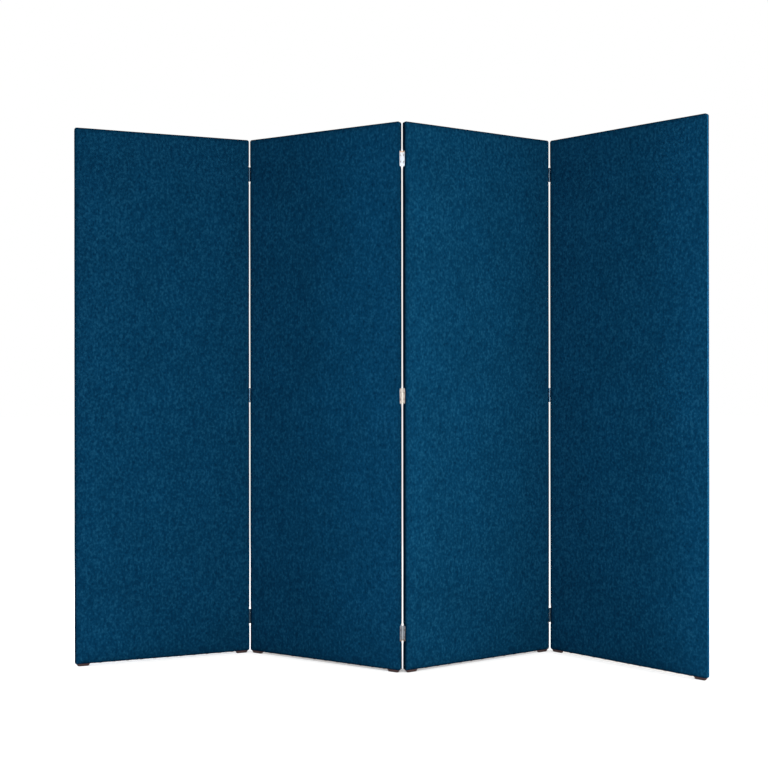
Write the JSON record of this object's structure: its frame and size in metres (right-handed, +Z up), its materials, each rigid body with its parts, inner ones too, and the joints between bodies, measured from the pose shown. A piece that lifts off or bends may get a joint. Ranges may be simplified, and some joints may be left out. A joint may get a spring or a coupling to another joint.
{
  "type": "room divider panel",
  "caption": "Free-standing folding room divider: upholstered panels on small feet, joined edge to edge by butt hinges so that they stand in a zigzag or fold flat.",
  "frame": {"origin": "on the floor, below the middle of the box that the standing row fills", "axes": "+X along the row from panel 1 to panel 4, +Z up, -Y out of the front"},
  "size_m": [2.0674, 0.4106, 1.8],
  "materials": {
    "cover_fabric": "matte",
    "wadding": "matte",
    "frame_timber": "matte",
    "core_board": "matte",
    "hinge_steel": "satin",
    "screw_steel": "satin",
    "foot": "matte"
  },
  "bodies": {
    "panel_1": {"panel_1_left_stile": "frame_timber", "panel_1_right_stile": "frame_timber", "panel_1_top_rail": "frame_timber", "panel_1_middle_rail": "frame_timber", "panel_1_bottom_rail": "frame_timber", "panel_1_upper_core": "core_board", "panel_1_lower_core": "core_board", "panel_1_wadding": "wadding", "panel_1_fabric_cover": "cover_fabric", "panel_1_left_foot": "foot", "panel_1_right_foot": "foot", "panel_1_screws": "screw_steel", "fold_1_left_leaves": "hinge_steel"},
    "panel_2": {"panel_2_left_stile": "frame_timber", "panel_2_right_stile": "frame_timber", "panel_2_top_rail": "frame_timber", "panel_2_middle_rail": "frame_timber", "panel_2_bottom_rail": "frame_timber", "panel_2_upper_core": "core_board", "panel_2_lower_core": "core_board", "panel_2_wadding": "wadding", "panel_2_fabric_cover": "cover_fabric", "panel_2_left_foot": "foot", "panel_2_right_foot": "foot", "panel_2_screws": "screw_steel", "fold_1_right_leaves": "hinge_steel", "fold_1_pins": "hinge_steel", "fold_2_left_leaves": "hinge_steel", "fold_2_pins": "hinge_steel"},
    "panel_3": {"panel_3_left_stile": "frame_timber", "panel_3_right_stile": "frame_timber", "panel_3_top_rail": "frame_timber", "panel_3_middle_rail": "frame_timber", "panel_3_bottom_rail": "frame_timber", "panel_3_upper_core": "core_board", "panel_3_lower_core": "core_board", "panel_3_wadding": "wadding", "panel_3_fabric_cover": "cover_fabric", "panel_3_left_foot": "foot", "panel_3_right_foot": "foot", "panel_3_screws": "screw_steel", "fold_2_right_leaves": "hinge_steel", "fold_3_left_leaves": "hinge_steel", "fold_3_pins": "hinge_steel"},
    "panel_4": {"panel_4_left_stile": "frame_timber", "panel_4_right_stile": "frame_timber", "panel_4_top_rail": "frame_timber", "panel_4_middle_rail": "frame_timber", "panel_4_bottom_rail": "frame_timber", "panel_4_upper_core": "core_board", "panel_4_lower_core": "core_board", "panel_4_wadding": "wadding", "panel_4_fabric_cover": "cover_fabric", "panel_4_left_foot": "foot", "panel_4_right_foot": "foot", "panel_4_screws": "screw_steel", "fold_3_right_leaves": "hinge_steel"}
  },
  "joints": [
    {"name": "fold_1", "type": "hinge", "parent": "panel_2", "child": "panel_1", "pos_m": [-0.47046, 0.17731, 0.904], "axis": [0, 0, 1], "range_deg": [-47.8, 132.2]},
    {"name": "fold_2", "type": "hinge", "parent": "panel_2", "child": "panel_3", "pos_m": [0.06145, -0.08797, 0.904], "axis": [0, 0, 1], "range_deg": [-58.2, 121.8]},
    {"name": "fold_3", "type": "hinge", "parent": "panel_3", "child": "panel_4", "pos_m": [0.58574, 0.19206, 0.904], "axis": [0, 0, -1], "range_deg": [-72.3, 107.7]}
  ]
}
